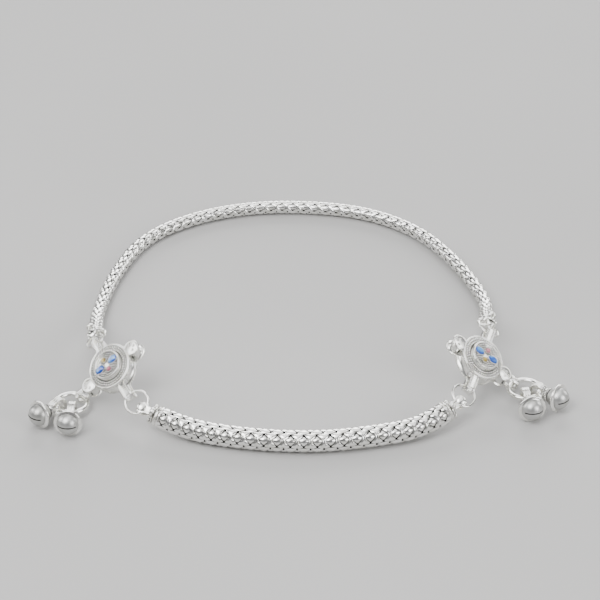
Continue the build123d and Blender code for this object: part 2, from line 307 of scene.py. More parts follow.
STONE_FINISHES = {
    "blue_stone": cut_glass(
        "blue_glass", (0.008, 0.03, 0.30), (0.02, 0.13, 0.72), (0.16, 0.50, 0.95)
    ),
    "pink_stone": cut_glass(
        "pink_glass", (0.30, 0.03, 0.07), (0.72, 0.16, 0.24), (0.95, 0.55, 0.6)
    ),
    "yellow_stone": cut_glass(
        "yellow_glass", (0.34, 0.22, 0.03), (0.80, 0.60, 0.14), (0.98, 0.88, 0.5)
    ),
}
print("stone finishes", list(STONE_FINISHES))

# %% [markdown]
# ## From loose shape to finished piece
# Every piece is shaped in its own frame, in millimetres. Finishing it means the same few steps
# each time: join doubled vertices, point all faces outward, write the mesh, shade it smoothly
# with crisp edges where faces turn sharply, hide the CAD nodes it stands for, and
# let it ride with the body.
# %% Piece helpers
MERGE_DISTANCE = 0.0005
CRISP_ANGLE = radians(48)


def tidy(shape):
    """Joins doubled vertices, then turns every closed shell outward."""
    bmesh.ops.remove_doubles(shape, verts=shape.verts, dist=MERGE_DISTANCE)
    bmesh.ops.recalc_face_normals(shape, faces=shape.faces)
    return shape


def close_holes(shape):
    open_edges = [edge for edge in shape.edges if edge.is_boundary]
    bmesh.ops.holes_fill(shape, edges=open_edges, sides=0)


def to_mesh(shape, name):
    mesh = bpy.data.meshes.new(name)
    shape.to_mesh(mesh)
    shape.free()
    return mesh


def stamp(target, mesh, place):
    """Adds a copy of a small mesh to a growing shape."""
    first = len(target.verts)
    target.from_mesh(mesh)
    target.verts.ensure_lookup_table()
    bmesh.ops.transform(target, matrix=place, verts=target.verts[first:])


def add_piece(name, mesh, place, finishes, nodes):
    """Places a mesh made in millimetres, gives it finishes and hides the CAD nodes it stands for.
    """
    mesh.transform(place @ Matrix.Scale(MM, 4))
    for finish in finishes:
        mesh.materials.append(finish)
    mesh.polygons.foreach_set("use_smooth", [True] * len(mesh.polygons))
    mesh.set_sharp_from_angle(angle=CRISP_ANGLE)
    piece = link_object(bpy.data.objects.new(name, mesh))
    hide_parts(*nodes)
    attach(piece, BODY)
    triangles = sum(len(face.vertices) - 2 for face in mesh.polygons)
    print(name, "triangles", triangles)
    return piece


print("corners sharper than", round(degrees(CRISP_ANGLE)), "degrees stay crisp")

# %% [markdown]
# ## Turned shapes
# Boxes, cuffs, collars, flanges and petals are all round about an axis, as if turned on a lathe.
# Blender's Screw modifier could do it, but the spin operator works on a bare bmesh: it sweeps an
# outline of points through a full turn. Points on the axis are left out and the two round holes
# are closed with one face each, so no doubled points stay at the poles.
# %% Lathe
def lathe(profile, steps, axis=(0, 0, 1)):
    """Turns an outline of (radius, height) points round an axis into a closed shape."""
    shape = bmesh.new()
    up = Vector(axis)
    out = up.orthogonal().normalized()
    closed = profile[0] == profile[-1]
    rim = profile[:-1] if closed else [point for point in profile if point[0] > 0]
    points = [shape.verts.new(out * radius + up * height) for radius, height in rim]
    edges = [shape.edges.new(pair) for pair in zip(points, points[1:])]
    if closed:
        edges.append(shape.edges.new((points[-1], points[0])))
    bmesh.ops.spin(shape, geom=points + edges, cent=(0, 0, 0), axis=up, angle=2 * pi,
                   steps=steps, use_merge=True)
    if not closed:
        close_holes(shape)
    return tidy(shape)


trial = lathe(((0, 0), (1, 0), (1, 1), (0, 1)), 12)
print("a turned drum of 12 steps has", len(trial.faces), "faces")
trial.free()

# %% [markdown]
# ## Where a medallion lies
# Each medallion leans outward on its bell loop, so its own frame is turned in space. The four
# stones give the turn: pink and yellow lie on the arm line, the two blue ones on the line from
# the outer lobe to the ear. The extents of the CAD metal along those three directions then give
# the exact middle.
# %% Medallion frames
EAR_TOP = 7.0          # reach of the ear from the middle, mm
BOSS_TOP = 2.65        # height of the stone field's rim above the middle, mm


def box_middle(node):
    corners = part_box(node)
    return (corners[0] + corners[1]) / 2


def frame_matrix(origin, x_way, y_way):
    z_way = x_way.cross(y_way)
    return Matrix.Translation(origin) @ Matrix((x_way, y_way, z_way)).transposed().to_4x4()


def node_points(node):
    return [vertex.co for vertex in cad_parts[node].data.vertices]


def medallion_place(side):
    x_way = (box_middle(f"pink_stone_{side}") - box_middle(f"yellow_stone_{side}")).normalized()
    y_way = box_middle(f"blue_stone_inner_{side}") - box_middle(f"blue_stone_outer_{side}")
    y_way = (y_way - x_way * y_way.dot(x_way)).normalized()
    z_way = x_way.cross(y_way)
    points = node_points(f"medallion_{side}")
    along = [point.dot(x_way) for point in points]
    origin = x_way * (min(along) + max(along)) / 2
    origin += y_way * (max(point.dot(y_way) for point in points) - EAR_TOP * MM)
    origin += z_way * (max(point.dot(z_way) for point in points) - BOSS_TOP * MM)
    return frame_matrix(origin, x_way, y_way)


SIDES = ("left", "right")
MEDALLION_PLACES = {side: medallion_place(side) for side in SIDES}
for side, place in MEDALLION_PLACES.items():
    print(side, "medallion middle in mm", [round(v / MM, 2) for v in place.translation],
          "lean", round(degrees(acos(place.col[2][2])), 1))

# %% [markdown]
# ## Beads by the hundred
# Milgrain is a row of tiny beads rolled into a rim. One bead of a few dozen faces is made once
# and stamped round a circle or an oval again and again. All of them end up in one mesh with the
# body they sit on, which renders faster than hundreds of objects.
# %% Beads
def small_bead():
    shape = bmesh.new()
    bmesh.ops.create_uvsphere(shape, u_segments=8, v_segments=6, radius=1.0)
    return to_mesh(tidy(shape), "bead")


BEAD = small_bead()


def set_bead(target, place, diameter, flatness=1.0):
    size = diameter / 2
    scale = Matrix.Diagonal((size, size, size * flatness, 1))
    stamp(target, BEAD, Matrix.Translation(place) @ scale)


def bead_oval(target, centre, half_x, half_y, height, diameter, spacing, skip=lambda x, y: False):
    """Beads of even spacing round a circle or oval that lies flat."""
    turns = np.linspace(0, 2 * pi, 241)
    xs, ys = half_x * np.cos(turns), half_y * np.sin(turns)
    run = np.concatenate(([0], np.cumsum(np.hypot(np.diff(xs), np.diff(ys)))))
    count = round(run[-1] / spacing)
    for step in range(count):
        turn = np.interp(run[-1] * step / count, run, turns)
        x, y = centre[0] + half_x * cos(turn), centre[1] + half_y * sin(turn)
        if not skip(x, y):
            set_bead(target, (x, y, height), diameter)
    return count


print("bead faces", len(BEAD.polygons))

# %% [markdown]
# ## Medallion body
# The body is a round box: a back plate and a front plate with beaded edges, a hollowed side wall
# between them, two rings of granules on the slope of the front plate, and a raised field that
# holds the stones. Plates, wall and field are all round, so one outline spun once gives the whole
# box, and the beads are stamped onto it afterwards. Beads that would sit under a stone are left
# out.
# %% Medallion body
BODY_OUTLINE = (
    (0, 2.40), (2.35, 2.40), (2.42, 2.46), (2.72, 2.5), (2.86, 2.44), (2.92, 2.3), (2.93, 2.15),
    (2.86, 2.05), (2.86, 1.95), (2.93, 1.85), (2.95, 1.6), (3.0, 1.5), (3.1, 1.46), (3.22, 1.54),
    (3.95, 1.42), (4.02, 1.36), (4.08, 1.4), (4.12, 1.52), (4.22, 1.59), (4.36, 1.58), (4.46, 1.5),
    (4.49, 1.38), (4.48, 1.2), (4.44, 1.04), (4.3, 0.96), (4.1, 0.8), (4.0, 0.5), (3.93, 0),
    (4.0, -0.5), (4.15, -0.86), (4.34, -0.98), (4.42, -1.06), (4.44, -1.2), (4.4, -1.34),
    (4.3, -1.4), (0, -1.4),
)
BODY_STEPS = 96
BEAD_RINGS = {
    # circle radius, height, bead diameter
    "front milgrain": (4.04, 1.46, 0.3),
    "front edge": (4.44, 1.2, 0.42),
    "back edge": (4.43, -1.2, 0.44),
    "field": (2.66, 2.5, 0.42),
    "inner granules": (3.3, 1.54, 0.48),
    "outer granules": (3.76, 1.5, 0.46),
}
BEAD_SPACING = 1.1              # in bead diameters

STONES = {
    # half length along the arms, half length across, distance along, distance across
    "blue_stone_inner": (0.65, 0.975, 0.0, 1.6),
    "blue_stone_outer": (0.65, 0.975, 0.0, -1.6),
    "pink_stone": (0.45, 0.45, 1.15, 0.0),
    "yellow_stone": (0.45, 0.45, -1.15, 0.0),
}
FIELD_HEIGHT = 2.42
SETTING_BEAD = 0.32             # beads that hold a stone's edge
SETTING_ROOM = 0.144            # their circle, outside the stone's edge
SETTING_SPACING = 0.3456
FIELD_BEAD = 0.38               # beads that fill the field between the stones
FIELD_SPACING = 0.44
FIELD_RADII = (1.38, 1.8, 2.22)


def near_a_stone(x, y, room=0.3):
    """True where a bead would touch a stone or its setting."""
    return any(
        ((x - along) / (half_x + room)) ** 2 + ((y - across) / (half_y + room)) ** 2 < 1
        for half_x, half_y, along, across in STONES.values()
    )


def medallion_body():
    shape = lathe(BODY_OUTLINE, BODY_STEPS)
    for radius, height, diameter in BEAD_RINGS.values():
        bead_oval(shape, (0, 0), radius, radius, height, diameter, diameter * BEAD_SPACING,
                  skip=lambda x, y, h=height: h > FIELD_HEIGHT and near_a_stone(x, y, 0.05))
    for half_x, half_y, along, across in STONES.values():
        bead_oval(shape, (along, across), half_x + SETTING_ROOM, half_y + SETTING_ROOM,
                  FIELD_HEIGHT + 0.08, SETTING_BEAD, SETTING_SPACING)
    for radius in FIELD_RADII:
        bead_oval(shape, (0, 0), radius, radius, FIELD_HEIGHT, FIELD_BEAD, FIELD_SPACING,
                  skip=near_a_stone)
    return shape


print("rings of beads", {name: ring[0] for name, ring in BEAD_RINGS.items()})

# %% [markdown]
# ## Ribbed straps
# The arms, the bell loop and the folded leaves of the caps are all flat strip: its edges stand
# proud, its middle is rolled with fine ribs, and it is bent round. A grid is the natural start:
# its long direction follows the bend, its short one is the width, and the rolled pattern is a
# small height off the surface. Solidify then gives the strip its thickness.
# %% Strap helper
RIBBED_SHARE = 0.72    # of the half width; outside it the edge is plain and stands proud
EDGE_HEIGHT = 0.07
ROUND_FROM = 0.86      # the edge is rounded off from here on
ROUND_DROP = 0.09


def past(share, start):
    """How far a share has gone from a start (0) to the very edge (1)."""
    return max(0, share - start) / (1 - start)


def strap(bend, length, width, thickness, rib=0.45, rib_depth=0.1, plain=None, across=8):
    """Strip along a bend, which gives (point, outward way) of a distance; Y is its width."""
    shape = bmesh.new()
    along = max(12, ceil(length / rib * 5))
    bmesh.ops.create_grid(shape, x_segments=along, y_segments=across, size=1)
    for vertex in shape.verts:
        distance = (vertex.co.x + 1) / 2 * length
        off_middle = vertex.co.y
        point, out = bend(distance)
        half = (width(distance) if callable(width) else width) / 2
        edge = abs(off_middle)
        ribbed = edge <= RIBBED_SHARE and not (plain and plain(distance))
        sunk = rib_depth * (0.5 - 0.5 * cos(2 * pi * distance / rib)) if ribbed else 0
        sunk += EDGE_HEIGHT if edge < RIBBED_SHARE else 0
        sunk += ROUND_DROP * past(edge, ROUND_FROM)
        at = point - out * sunk
        vertex.co = (at[0], off_middle * half, at[1])
    bmesh.ops.recalc_face_normals(shape, faces=shape.faces)
    first = shape.faces[:][0]
    outward = bend(0.5 / along * length)[1]
    if first.normal.dot(Vector((outward[0], 0, outward[1]))) < 0:
        bmesh.ops.reverse_faces(shape, faces=shape.faces)
    bmesh.ops.solidify(shape, geom=shape.faces[:], thickness=thickness - EDGE_HEIGHT)
    bmesh.ops.recalc_face_normals(shape, faces=shape.faces)
    return shape


print("plain edge of a strap", round(1 - RIBBED_SHARE, 2), "of its half width")

# %% [markdown]
# ## Two ways to bend a strap
# A bend answers one question: where is the strip's middle line at a given distance, and which
# way is outward there? Arms and leaves are a hairpin, straight out, round the tip and back. The
# bell loop is a hoop, bent until its ends meet.
# %% Bends
def hairpin(straight, radius, tip):
    """Bend of a strip that runs out, turns round its tip and comes back, in X and Z."""
    turn_length = pi * radius
    centre = tip - radius

    def bend(distance):
        if distance < straight:
            return Vector((centre - straight + distance, radius)), Vector((0, 1))
        if distance < straight + turn_length:
            turn = (distance - straight) / radius
            out = Vector((sin(turn), cos(turn)))
            return Vector((centre, 0)) + out * radius, out
        back = distance - straight - turn_length
        return Vector((centre - back, -radius)), Vector((0, -1))

    return bend, 2 * straight + turn_length


def hoop(radius):
    """Bend of a strip closed into a ring."""
    def bend(distance):
        turn = distance / radius
        out = Vector((cos(turn), sin(turn)))
        return out * radius, out

    return bend, 2 * pi * radius


print("strip in a hoop of radius 1:", round(hoop(1)[1], 2))

# %% [markdown]
# ## Arms of a medallion
# Two strap arms leave the round box for the chains. Each is folded back like a hairpin so that a
# jump ring can pass through its tip, which is left plain where the ring rubs. A turned cuff
# hides the joint between an arm and the box.
# %% Arms
ARM_TIP = 8.4
ARM_FOLD = 1.15        # outside radius of the fold
ARM_STRAIGHT = 3.55
ARM_WIDTH = 1.8
ARM_PLAIN = 0.45       # plain length on either side of the tip
ARM_RIB, ARM_RIB_DEPTH = 0.42, 0.11
STRAP_THICKNESS = 0.35
CUFF_DISTANCE = 3.9
CUFF_OUTLINE = ((0.0, 0.0), (1.05, 0.0), (1.12, 0.1), (1.12, 0.32), (1.02, 0.42), (0.0, 0.42))


def add_arms(shape):
    bend, length = hairpin(ARM_STRAIGHT, ARM_FOLD, ARM_TIP)
    tip_middle = length / 2
    arm = strap(bend, length, ARM_WIDTH, STRAP_THICKNESS, rib=ARM_RIB, rib_depth=ARM_RIB_DEPTH,
                plain=lambda distance: abs(distance - tip_middle) < ARM_PLAIN)
    arm_mesh = to_mesh(arm, "arm")
    cuff_mesh = to_mesh(lathe(CUFF_OUTLINE, 32), "cuff")
    to_side = Matrix.Translation((CUFF_DISTANCE, 0, 0)) @ Matrix.Rotation(pi / 2, 4, "Y")
    for turn in (0, pi):
        around = Matrix.Rotation(turn, 4, "Z")
        stamp(shape, arm_mesh, around)
        stamp(shape, cuff_mesh, around @ to_side)


print("arm of folded strip, mm", round(hairpin(ARM_STRAIGHT, ARM_FOLD, ARM_TIP)[1], 1))

# %% [markdown]
# ## Ear, lobe and bell loop
# At right angles to the arms sit a small ear and a lobe, each like a cotton reel with a few
# punched pits and a beaded lower edge. The punch pushes up a tiny lip round each pit, and the
# pit itself is painted near-black as shade. Below the lobe a curled strap holds the bell ring.
# %% Ear, lobe and loop
LOBE_DISTANCE = 5.4
LOBE_OUTLINE = (
    (0, 1.36), (1.1, 1.36), (1.25, 1.40), (1.45, 1.38), (1.58, 1.28), (1.6, 1.18), (1.55, 1.06),
    (1.3, 0.98), (1.12, 0.7), (1.05, 0.0), (1.12, -0.7), (1.3, -0.98), (1.55, -1.06), (1.6, -1.2),
    (1.55, -1.34), (1.4, -1.4), (0, -1.4),
)
LOBE_BEADS = (1.5, 1.5, -1.2, 0.26, 0.28)      # half x, half y, height, diameter, spacing
PIT_PLACES = ((-0.62, 0.15), (0.62, 0.15), (0.0, 0.75))
PIT_HEIGHT = 1.37
PIT_OUTLINE = (
    (0, -0.02), (0.14, -0.01), (0.2, 0.05), (0.27, 0.05), (0.31, 0.0), (0.31, -0.1), (0, -0.1),
)
PIT_FLOOR = 0.16                # radius of the dark part
LOOP_DISTANCE, LOOP_RADIUS, LOOP_WIDTH = 7.9, 1.6, 1.3


def pit_mesh():
    """A punched pit: a tiny raised lip round a dark dimple."""
    shape = lathe(PIT_OUTLINE, 12)
    # the dimple takes the second finish: painted shade
    for face in shape.faces:
        middle = face.calc_center_median()
        face.material_index = 1 if middle.xy.length < PIT_FLOOR and middle.z > -0.05 else 0
    return to_mesh(shape, "pit")


PIT = pit_mesh()


def add_lobes(shape):
    mesh = to_mesh(lathe(LOBE_OUTLINE, 40), "lobe")
    for way in (1, -1):
        stamp(shape, mesh, Matrix.Translation((0, way * LOBE_DISTANCE, 0)))
        for x, y in PIT_PLACES:
            place = Vector((x, way * (LOBE_DISTANCE + y), PIT_HEIGHT))
            stamp(shape, PIT, Matrix.Translation(place))
        bead_oval(shape, (0, way * LOBE_DISTANCE), *LOBE_BEADS)


def add_bell_loop(shape):
    bend, length = hoop(LOOP_RADIUS)
    loop = strap(bend, length, LOOP_WIDTH, STRAP_THICKNESS, rib=0.4, rib_depth=0.1)
    mesh = to_mesh(tidy(loop), "loop")
    stamp(shape, mesh, Matrix.Translation((0, -LOOP_DISTANCE, 0)) @ Matrix.Rotation(pi / 2, 4, "Z"))


for side in SIDES:
    station = medallion_body()
    add_arms(station)
    add_lobes(station)
    add_bell_loop(station)
    add_piece(f"station_{side}", to_mesh(station, "station"), MEDALLION_PLACES[side],
              (cast_silver, deep_painted_shade), (f"medallion_{side}",))

# %% [markdown]
# ## Cut stones
# A cut stone has a flat table, a crown of sloping facets round it, a thin girdle and a back that
# narrows into its pocket. Rings of points joined by faces give that shape, with every other
# ring turned by half a facet. Flat shading keeps each facet a mirror of its own, which is where
# the glitter comes from.
# %% Stones
STONE_RINGS = (
    # share of the outline, height, turn in facets: table, star ring, girdle (two), back
    (0.58, 2.94, 0.5), (0.86, 2.82, 0.0), (1.0, 2.62, 0.5), (0.98, 2.54, 0.5), (0.6, 2.42, 0.5),
)
CROWN_LOW, CROWN_HIGH = 2.56, 2.9
OVAL_FACETS, ROUND_FACETS = 14, 10


def cut_stone(half_x, half_y, sides):
    """Facets from rings of points: table, star ring, girdle and back."""
    shape = bmesh.new()
    made = []
    for share, height, twist in STONE_RINGS:
        ring = bmesh.ops.create_circle(shape, segments=sides, radius=share, cap_ends=False)["verts"]
        spin = Matrix.Rotation(twist * 2 * pi / sides, 4, "Z")
        bmesh.ops.transform(shape, matrix=Matrix.Translation((0, 0, height)) @ spin, verts=ring)
        made.append([edge for edge in shape.edges if all(end in ring for end in edge.verts)])
    for upper, lower in zip(made, made[1:]):
        bmesh.ops.bridge_loops(shape, edges=upper + lower)
    for cap in (made[0], made[-1]):
        bmesh.ops.holes_fill(shape, edges=cap, sides=0)
    crown = [face for face in shape.faces
             if CROWN_LOW < face.calc_center_median().z < CROWN_HIGH]
    bmesh.ops.triangulate(shape, faces=crown)
    bmesh.ops.transform(shape, matrix=Matrix.Diagonal((half_x, half_y, 1, 1)), verts=shape.verts)
    return tidy(shape)


for side in SIDES:
    for stone, (half_x, half_y, along, across) in STONES.items():
        oval = half_x != half_y
        gem = to_mesh(cut_stone(half_x, half_y, OVAL_FACETS if oval else ROUND_FACETS), stone)
        slot = "blue_stone" if oval else stone
        lay = MEDALLION_PLACES[side] @ Matrix.Translation((along * MM, across * MM, 0))
        piece = add_piece(f"{stone}_gem_{side}", gem, lay, (STONE_FINISHES[slot],),
                          (f"{stone}_{side}",))
        piece.data.polygons.foreach_set("use_smooth", [False] * len(piece.data.polygons))

# %% [markdown]
# ## The line of a chain
# A chain keeps its length and lies in one smooth curve. A NURBS spline through the corner
# points of its route gives that curve: Blender draws it, and we read back closely spaced points
# and the distance of each along the line. The points are in millimetres, in the model's frame.
# %% Chain routes
ROUTES = {
    "front_chain": (
        (-26.227, -33.439, 3.481), (-21.279, -35.438, 2.150), (-12.588, -37.799, 2.150),
        (-3.588, -38.999, 2.150), (5.412, -38.999, 2.150), (14.412, -37.399, 2.150),
        (22.700, -35.101, 2.150), (27.124, -32.117, 3.481),
    ),
    "back_chain": (
        (-39.674, -9.894, 5.570), (-39.829, -5.442, 3.300), (-40.288, 1.301, 1.400),
        (-37.788, 14.801, 1.400), (-32.588, 27.601, 1.400), (-23.088, 35.301, 1.400),
        (-11.088, 39.501, 1.400), (1.912, 39.901, 1.400), (14.412, 37.501, 1.400),
        (24.612, 30.701, 1.400), (31.212, 20.801, 1.400), (35.512, 10.801, 1.400),
        (37.312, 3.801, 1.400), (36.351, -1.793, 3.300), (36.506, -6.245, 5.570),
    ),
}


def chain_line(name):
    """Distances along the chain, points and ways at them, from its NURBS spline."""
    curve = bpy.data.curves.new(name, "CURVE")
    curve.dimensions = "3D"
    spline = curve.splines.new("NURBS")
    spline.points.add(len(ROUTES[name]) - 1)
    for knot, point in zip(spline.points, ROUTES[name]):
        knot.co = (*point, 1)
    spline.order_u = 3
    spline.use_endpoint_u = True
    spline.resolution_u = 32
    guide = link_object(bpy.data.objects.new(name, curve))
    sampled = bpy.data.meshes.new_from_object(guide)
    points = np.array([vertex.co for vertex in sampled.vertices])
    bpy.data.objects.remove(guide)
    steps = np.linalg.norm(np.diff(points, axis=0), axis=1)
    distance = np.concatenate(([0], np.cumsum(steps)))
    ways = np.gradient(points, distance, axis=0)
    ways /= np.linalg.norm(ways, axis=1)[:, None]
    return distance, points, ways


for name in ROUTES:
    print(name, "length in mm", round(chain_line(name)[0][-1], 1))

# %% [markdown]
# ## One woven link
# Four rows of links run along the chain, each row half a link out of step with its neighbours.
# A link shows as a plate like an hourglass laid across the chain: narrow in the middle of its
# row and wide at its edges, with a rolled rim. Between two plates lies a small diamond of the
# links below, and a dark hole is left at each of its points. Plates and diamonds start as little
# grids that are pinched into shape and wrapped round the chain, then closed with a skirt, so a
# link has only a few dozen faces.
# %% Link parts
ROW_REACH = radians(45.4)      # a plate's end, from the middle of its row
DIAMOND_REACH = 0.57           # a diamond's point, as a share of that
FLARE_REACH = 0.95             # a plate is at its widest from here on
WAIST, FLARE = 0.15, 0.31      # half length of a plate at its waist, and what it gains, in links
# Depths below are shares of the chain's radius.
SKIN_DEPTH = 0.022             # plates lie this far under the tube's skin
SKIRT_DEPTH = 0.3              # plates and diamonds are closed this far down
RIM_HEIGHT, RIM_AT = 0.022, 0.6    # the rolled rim's crest, and how far out it runs
EDGE_DROP, EDGE_FROM = 0.11, 0.55  # the rim turns down again towards the plate's edge
END_DROP, END_FROM = 0.1, 0.8      # and the plate's ends dip under the next rows
DIAMOND_DEPTH, DIAMOND_DOME = 0.035, (0.1, 0.08)
DIAMOND_LEAST, DIAMOND_LAP = 0.06, 0.02  # least half length and lap under plates, in links


def wrap(radius, x, turn, height):
    """Point on the chain at a distance along it, a turn round it and a height off its skin."""
    return Vector((x, (radius + height) * sin(turn), (radius + height) * cos(turn)))


def close_below(shape, radius, depth):
    """Pulls the open edge down into the chain and closes it."""
    rim = [edge for edge in shape.edges if edge.is_boundary]
    lower = bmesh.ops.extrude_edge_only(shape, edges=rim)["geom"]
    for vertex in (item for item in lower if isinstance(item, bmesh.types.BMVert)):
        out = Vector((0, vertex.co.y, vertex.co.z))
        vertex.co -= out.normalized() * (out.length - (radius - depth))
    close_holes(shape)
    bmesh.ops.recalc_face_normals(shape, faces=shape.faces)
    return shape


def plate_half(pitch, share):
    """Half length of a plate along the chain, from row middle (0) to its end (1)."""
    flare = min(1, abs(share) / FLARE_REACH)
    return pitch * (WAIST + FLARE * (3 * flare**2 - 2 * flare**3))


def link_plate(radius, pitch, across, around):
    """A plate with a rolled rim; its two ends dip under the next rows."""
    shape = bmesh.new()
    bmesh.ops.create_grid(shape, x_segments=across, y_segments=around, size=1)
    for vertex in shape.verts:
        side, share = vertex.co.x, vertex.co.y
        sunk = SKIN_DEPTH + RIM_HEIGHT * cos(pi * min(abs(side) / RIM_AT, 1))
        sunk += EDGE_DROP * past(abs(side), EDGE_FROM) + END_DROP * past(abs(share), END_FROM)
        half = plate_half(pitch, share)
        vertex.co = wrap(radius, side * half, share * ROW_REACH, -radius * sunk)
    return close_below(shape, radius, SKIRT_DEPTH * radius)


def link_diamond(radius, pitch, across, around):
    """The small domed diamond that shows between two plates."""
    shape = bmesh.new()
    bmesh.ops.create_grid(shape, x_segments=across, y_segments=around, size=1)
    for vertex in shape.verts:
        side, share = vertex.co.x, vertex.co.y * DIAMOND_REACH
        half = pitch * max(DIAMOND_LEAST, 0.5 + DIAMOND_LAP - plate_half(1, share))
        sunk = DIAMOND_DEPTH + DIAMOND_DOME[0] * side**2 + DIAMOND_DOME[1] * vertex.co.y**2
        vertex.co = wrap(radius, side * half, share * ROW_REACH, -radius * sunk)
    return close_below(shape, radius, SKIRT_DEPTH * radius)


print("half a plate at its waist and end, in links", plate_half(1, 0), round(plate_half(1, 1), 2))

# %% [markdown]
# ## Weaving
# The chain is woven straight first, because rows and steps are simple to count there. Plates and
# diamonds are stamped row by row round a dark core, the ends are cut square with a bisecting
# plane, and a plain turned band closes each end, where the links are soldered into the cap.
# %% Weave
CHAINS = {
    # radius, length of one link, grid of a plate and of a diamond, roll of the first row
    "front_chain": (2.15, 2.42, (4, 10), (4, 6), radians(-54)),
    "back_chain": (1.40, 2.35, (4, 8), (2, 4), radians(-54)),
}
BAND_OUTLINE = (
    # share of the chain's radius, distance from its end
    (0, 0.01), (0.86, 0.01), (0.93, 0.08), (0.95, 0.25), (0.93, 0.42), (0.84, 0.5), (0, 0.5),
)
BAND_STEPS = 32
CORE_SHARE = 0.72
CORE_SIDES = 20


def dark_core(radius, length, cuts):
    """Rod that fills the chain, cut often enough to be bent."""
    core = bmesh.new()
    bmesh.ops.create_cone(core, cap_ends=True, segments=CORE_SIDES, radius1=radius * CORE_SHARE,
                          radius2=radius * CORE_SHARE, depth=length)
    lay = Matrix.Translation((length / 2, 0, 0)) @ Matrix.Rotation(pi / 2, 4, "Y")
    bmesh.ops.transform(core, matrix=lay, verts=core.verts)
    long_edges = [edge for edge in core.edges if edge.calc_length() > 0.5 * length]
    bmesh.ops.subdivide_edges(core, edges=long_edges, cuts=cuts, use_grid_fill=True)
    # the core takes the second finish: near-black painted shade for the inside of the weave
    for face in core.faces:
        face.material_index = 1
    return to_mesh(core, "core")


def weave(name, length):
    radius, pitch, plate_grid, diamond_grid, roll = CHAINS[name]
    count = round(length / pitch)
    pitch = length / count
    plate = to_mesh(link_plate(radius, pitch, *plate_grid), "plate")
    diamond = to_mesh(link_diamond(radius, pitch, *diamond_grid), "diamond")
    shape = bmesh.new()
    for row in range(4):
        turn = Matrix.Rotation(-(roll + row * pi / 2), 4, "X")
        shift = 0.5 if row % 2 else 0.0
        for step in range(count + 1):
            for mesh, place in ((plate, step + shift), (diamond, step + shift + 0.5)):
                if place < count + 0.5:
                    stamp(shape, mesh, Matrix.Translation((place * pitch, 0, 0)) @ turn)
    for at, way in ((0.0, -1), (length, 1)):
        geom = shape.verts[:] + shape.edges[:] + shape.faces[:]
        bmesh.ops.bisect_plane(shape, geom=geom, plane_co=(at, 0, 0), plane_no=(way, 0, 0),
                               clear_outer=True)
    close_holes(shape)
    stamp(shape, dark_core(radius, length, count * 2), Matrix.Identity(4))
    outline = [(share * radius, at) for share, at in BAND_OUTLINE]
    band = to_mesh(lathe(outline, BAND_STEPS, axis=(1, 0, 0)), "band")
    stamp(shape, band, Matrix.Identity(4))
    stamp(shape, band, Matrix.Translation((length, 0, 0)) @ Matrix.Rotation(pi, 4, "Z"))
    bmesh.ops.recalc_face_normals(shape, faces=shape.faces)
    print(name, "links along it", count, "of", round(pitch, 2), "mm, faces", len(shape.faces))
    return shape


print("link lengths in mm", {name: chain[1] for name, chain in CHAINS.items()})

# %% [markdown]
# ## Bending the chain onto its line
# A Curve modifier could bend the chain, but it would let the weave roll round the line. Here
# every point is carried over by hand: its distance along the chain picks a place on the line,
# and its offset from the middle is laid out sideways and upward there. So one row of holes
# faces up and outward all the way.
# %% Bend
def bend_along(shape, line):
    """Carries a straight chain along X onto its line."""
    distance, points, ways = line
    straight = np.array([vertex.co for vertex in shape.verts])
    at = np.clip(straight[:, 0], 0, distance[-1])
    middle = np.stack([np.interp(at, distance, points[:, axis]) for axis in range(3)], axis=1)
    way = np.stack([np.interp(at, distance, ways[:, axis]) for axis in range(3)], axis=1)
    way /= np.linalg.norm(way, axis=1)[:, None]
    aside = np.cross((0, 0, 1), way)
    aside /= np.linalg.norm(aside, axis=1)[:, None]
    upward = np.cross(way, aside)
    bent = middle + aside * straight[:, 1:2] + upward * straight[:, 2:3]
    for vertex, place in zip(shape.verts, bent):
        vertex.co = place
    return shape


for name in CHAINS:
    line = chain_line(name)
    woven = bend_along(weave(name, line[0][-1]), line)
    add_piece(f"woven_{name}", to_mesh(woven, name), Matrix.Identity(4),
              (link_silver, deep_painted_shade), (name,))

# %% [markdown]
# ## Where an end cap lies
# A cap joins a chain to its jump ring, so it points straight into the first part of the chain's
# route, and it leans outward a little less than the medallion beside it. Those two facts give
# its frame.
# %% Cap frames
LOOP_MIDDLE = Vector((0.912, 2.301, 0))
CAP_REACH = 3.15               # jump ring wire to the chain's end
CAP_LEANS = {"left": 34.0, "right": 31.0}


def cap_place(end, side):
    """Frame of a cap: X into the chain, Z out of the leaf's face."""
    route = ROUTES[f"{end}_chain"]
    ends = route[:2] if side == "left" else route[:-3:-1]
    start, following = (Vector(point) for point in ends)
    x_way = (following - start).normalized()
    inward = Vector((0, 0, 1)).cross(x_way).normalized()
    if inward.dot(LOOP_MIDDLE - start) < 0:
        inward = -inward
    upright = x_way.cross(inward)
    if upright.z < 0:
        upright = -upright
    lean = radians(CAP_LEANS[side])
    z_way = upright * cos(lean) - inward * sin(lean)
    origin = (start - x_way * CAP_REACH) * MM
    return frame_matrix(origin, x_way, z_way.cross(x_way))


CAP_PLACES = {(end, side): cap_place(end, side) for end in ("front", "back") for side in SIDES}
for cap, place in CAP_PLACES.items():
    print(*cap, "cap's ring wire in mm", [round(v / MM, 2) for v in place.translation])

# %% [markdown]
# ## The leaf of a cap
# A small strip is folded like a leaf round the jump ring. It reuses the strap helper with a width
# that swells over the ring and narrows to the neck, and it carries a low dome.
# %% Leaf
LEAF_FOLD, LEAF_TIP, LEAF_STRAIGHT = 1.15, 1.55, 1.95
LEAF_MIDDLE, LEAF_HALF, NECK_HALF, NECK_END = 0.45, 1.1, 0.75, -0.6
LEAF_NOSE = 1.3                # the leaf narrows to its fold as an oval of this half length
DOME_OUTLINE = ((0, 0.14), (0.3, 0.12), (0.6, 0.05), (0.82, -0.04), (0.9, -0.12), (0, -0.12))


